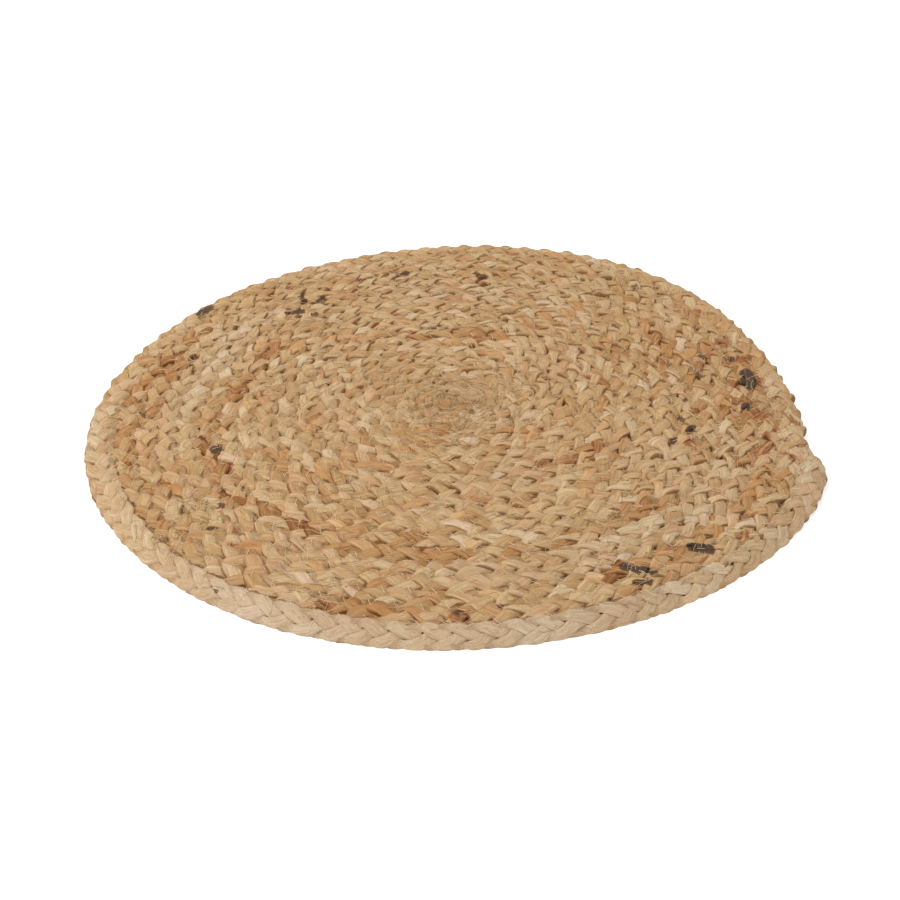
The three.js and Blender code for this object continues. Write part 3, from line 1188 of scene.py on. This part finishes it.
def within(turns, run):
    """1 inside a run, 0 outside it."""
    entering = smoothstep(turns, run.first, run.first + RUN_EASE)
    leaving = smoothstep(turns, run.last - RUN_EASE, run.last)
    return entering * (1 - leaving)


def strand_pieces():
    """The braided strands, for the trees that lay something on them."""
    return {name: bpy.data.objects[name.lower().replace(" ", "_")] for name in STRAND_INPUTS}


class PLACEMAT_OT_strands(bpy.types.Operator):
    """Braids three strands along the spiral"""

    bl_idname = "placemat.strands"
    bl_label = "Braid the strands"

    def execute(self, context):
        braid = context.scene.placemat.braid
        turns = np.linspace(START_TURNS, TURNS, LINE_STEPS)
        inner, outer = seam_radius(turns - 1), seam_radius(turns)
        tuck = smoothstep((turns - TURNS) * 360, -TUCK_LENGTH, 0)
        rim, leaning = rim_share(turns), rim_leaning(turns)
        shift = TUCK_SHIFT * tuck + RIM_SHIFT * rim + LEANING_SHIFT * leaning
        line = even_line(turns, (inner + outer) / 2 - (outer - inner) * shift, braid.period / braid.rings)
        width = np.interp(line.turns, turns, outer - inner)
        tuck = np.interp(line.turns, turns, tuck)
        rim, leaning = rim_share(line.turns), rim_leaning(line.turns)
        width = np.maximum(width, NARROWEST * TURN_WIDTH) * (1 - TUCK_NARROWING * tuck)
        narrowness = 1 - RIM_NARROWING * rim - LEANING_NARROWING * leaning
        attributes = {
            "path_width": width * narrowness,
            "path_rim": rim,
            "path_tuck": tuck,
            "path_leaning": leaning,
            "path_middle": 1 - smoothstep(line.turns, 0, MIDDLE_TURNS),
            "pale": sum(run.paleness * within(line.turns, run) for run in RUNS),
            "warm": sum(run.warmth * within(line.turns, run) for run in RUNS),
        }
        sizes = {"Strand": 0, **tree_inputs(braid, "rings")}
        tree = strand_tree(sizes)
        material = jute_material(context.scene.placemat.colours)
        for number in range(STRANDS):
            piece = line_object(f"strand_{number + 1}", line, attributes)
            mesh = made_mesh(piece, tree, {**sizes, "Strand": number, "Material": material})
            paint_marks(mesh, "bark", BARK_MARKS)
            paint_marks(mesh, "rust", RUST_MARKS)
            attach(piece, BODY)
            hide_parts(MAT)
        return {"FINISHED"}


class PLACEMAT_OT_thread(bpy.types.Operator):
    """Sews neighbouring turns together with a zigzag thread"""

    bl_idname = "placemat.thread"
    bl_label = "Sew the turns"

    def execute(self, context):
        thread = context.scene.placemat.thread
        turns = np.linspace(SEWN_FROM, TURNS - 1, LINE_STEPS)
        line = even_line(turns, seam_radius(turns), thread.stitch / SEAM_STEPS)
        piece = line_object("sewing_thread", line, {"tint": np.zeros(len(line.along))})
        sizes = tree_inputs(thread)
        colour = context.scene.placemat.colours.thread
        material = yarn_material("sewing thread", ((0.0, colour), (1.0, colour)))
        made_mesh(piece, thread_tree(sizes), {**sizes, **strand_pieces(), "Material": material})
        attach(piece, BODY)
        return {"FINISHED"}


def inside_outline(places, heading, reach):
    """Whether both ends of each fibre lie well inside the mat's outline."""
    inside = np.full(len(places), True)
    for end in (-1, 1):
        x, y = places[:, 0] + end * reach * np.cos(heading), places[:, 1] + end * reach * np.sin(heading)
        directions = (np.degrees(np.arctan2(y, x)) - RIM_DIRECTIONS[0]) % 360 + RIM_DIRECTIONS[0]
        inside &= np.hypot(x, y) < np.interp(directions, RIM_DIRECTIONS, RIM_RADII) - FIBRE_MARGIN
    return inside


class PLACEMAT_OT_fibres(bpy.types.Operator):
    """Lays loose fibres on the mat"""

    bl_idname = "placemat.fibres"
    bl_label = "Lay loose fibres"

    def execute(self, context):
        fibres = context.scene.placemat.fibres
        chance = np.random.default_rng(fibres.seed)
        turns = np.sqrt(chance.uniform(1, TURNS**2, fibres.count))
        radii = seam_radius(turns) - chance.uniform(*FIBRE_ROWS, fibres.count) * TURN_WIDTH
        angles = np.radians(direction_at(turns))
        places = [np.stack([radii * np.cos(angles), radii * np.sin(angles)], axis=1)]
        for fray in FRAYS:
            middle = mat_place(fray.column, fray.row, FACE_HEIGHT)[:2]
            places.append(middle + chance.normal(0, fray.radius / 2, (fray.count, 2)))
        places = np.concatenate(places)
        count = len(places)
        heading = np.arctan2(places[:, 1], places[:, 0]) + math.pi / 2
        heading = heading + chance.normal(0, FIBRE_TURNING, count)
        longer = fibres.longest - fibres.shortest
        attributes = {
            "path_heading": heading + math.pi * chance.integers(0, 2, count),
            "path_length": fibres.shortest + longer * chance.beta(*FIBRE_LENGTHS, count),
            "path_bow": chance.normal(0, fibres.bow / 2, count),
            "path_curl": fibres.curl * chance.beta(*FIBRE_CURLS, count),
            "tint": chance.uniform(0, 1, count),
        }
        kept = inside_outline(places, attributes["path_heading"], attributes["path_length"] / 2)
        places = places[kept]
        attributes = {key: values[kept] for key, values in attributes.items()}
        points = np.insert(places, 2, FIBRE_START, axis=1)
        piece = point_object("loose_fibres", points, [], attributes)
        sizes = {"Radius": fibres.radius, "Segments": fibres.segments}
        colours = context.scene.placemat.colours
        shades = (colours.pale_fibre, colours.tan_fibre, colours.brown_fibre)
        material = yarn_material("loose fibre", tuple(zip(FIBRE_STOPS, shades)))
        made_mesh(piece, fibre_tree(sizes), {**sizes, **strand_pieces(), "Material": material})
        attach(piece, BODY)
        return {"FINISHED"}


class PLACEMAT_OT_stage(bpy.types.Operator):
    """Lays the pale floor, hangs the soft light and sets up the camera"""

    bl_idname = "placemat.stage"
    bl_label = "Set the stage"

    def execute(self, context):
        scene = context.scene
        stage = scene.placemat.stage
        scene.view_settings.view_transform = "Standard"
        half = stage.floor_size / 2
        mesh = bpy.data.meshes.new("floor")
        corners = [(-half, -half, 0), (half, -half, 0), (half, half, 0), (-half, half, 0)]
        mesh.from_pydata(corners, [], [(0, 1, 2, 3)])
        floor = bpy.data.objects.new("floor", mesh)
        scene.collection.objects.link(floor)
        paper = bpy.data.materials.new("pale floor")
        graph = ShaderGraph(paper)
        graph.set(base_color=scene.placemat.colours.floor, roughness=FLOOR_ROUGHNESS)
        graph.set(emission_color=WHITE, emission_strength=stage.floor_glow)
        mesh.materials.append(paper)

        world = bpy.data.worlds.new("studio")
        world.use_nodes = True
        sky = world.node_tree.nodes["Background"]
        sky.inputs["Color"].default_value = WHITE
        sky.inputs["Strength"].default_value = stage.sky
        scene.world = world

        lamp = bpy.data.lights.new("key", "AREA")
        lamp.energy = stage.key
        lamp.size = stage.softness
        key = bpy.data.objects.new("key", lamp)
        key.location = KEY_PLACE
        key.rotation_mode = "QUATERNION"
        key.rotation_quaternion = key.location.to_track_quat("Z", "Y")
        scene.collection.objects.link(key)

        back = Vector(CAMERA_BACK)
        camera = bpy.data.objects.new("camera", bpy.data.cameras.new("camera"))
        camera.data.sensor_width = SENSOR
        camera.data.lens = LENS
        camera.location = CAMERA_AIM + back * CAMERA_DISTANCE
        camera.rotation_mode = "QUATERNION"
        camera.rotation_quaternion = (-back).to_track_quat("-Z", "Y")
        scene.collection.objects.link(camera)
        scene.camera = camera
        return {"FINISHED"}


class PLACEMAT_PT_panel(bpy.types.Panel):
    """Lists the placemat's pieces and their settings"""

    bl_idname = "PLACEMAT_PT_panel"
    bl_label = "Jute placemat"
    bl_space_type = "VIEW_3D"
    bl_region_type = "UI"
    bl_category = "Placemat"

    def draw(self, context):
        sizes = context.scene.placemat
        for group, operator in (
            (sizes.braid, PLACEMAT_OT_strands),
            (sizes.thread, PLACEMAT_OT_thread),
            (sizes.fibres, PLACEMAT_OT_fibres),
            (sizes.stage, PLACEMAT_OT_stage),
        ):
            self.draw_group(group).operator(operator.bl_idname)
        self.draw_group(sizes.colours)

    def draw_group(self, group):
        """A box with a group's settings."""
        box = self.layout.box()
        for key in type(group).__annotations__:
            box.prop(group, key)
        return box


CLASSES = (
    PLACEMAT_PG_braid,
    PLACEMAT_PG_thread,
    PLACEMAT_PG_fibres,
    PLACEMAT_PG_stage,
    PLACEMAT_PG_colours,
    PLACEMAT_PG_sizes,
    PLACEMAT_OT_strands,
    PLACEMAT_OT_thread,
    PLACEMAT_OT_fibres,
    PLACEMAT_OT_stage,
    PLACEMAT_PT_panel,
)


def register():
    for entry in CLASSES:
        bpy.utils.register_class(entry)
    bpy.types.Scene.placemat = PointerProperty(type=PLACEMAT_PG_sizes)


def unregister():
    del bpy.types.Scene.placemat
    for entry in reversed(CLASSES):
        bpy.utils.unregister_class(entry)


def declare_sheet():
    """Works out the area inside the rim's outline and picks the first strand and the other pieces; nothing
    more is done with them. The mat is one flat sheet. Its first strand stands for it, and the other pieces
    go with that one.
    """
    angles = np.radians(RIM_DIRECTIONS)
    area = np.sum(RIM_RADII[:-1] * RIM_RADII[1:] * np.sin(np.diff(angles))) / 2
    first, *others = strand_pieces().values()
    others += [bpy.data.objects["sewing_thread"], bpy.data.objects["loose_fibres"]]


def main():
    register()
    bpy.ops.placemat.strands()
    bpy.ops.placemat.thread()
    bpy.ops.placemat.fibres()
    bpy.ops.placemat.stage()
    declare_sheet()


if __name__ == "__main__":
    main()
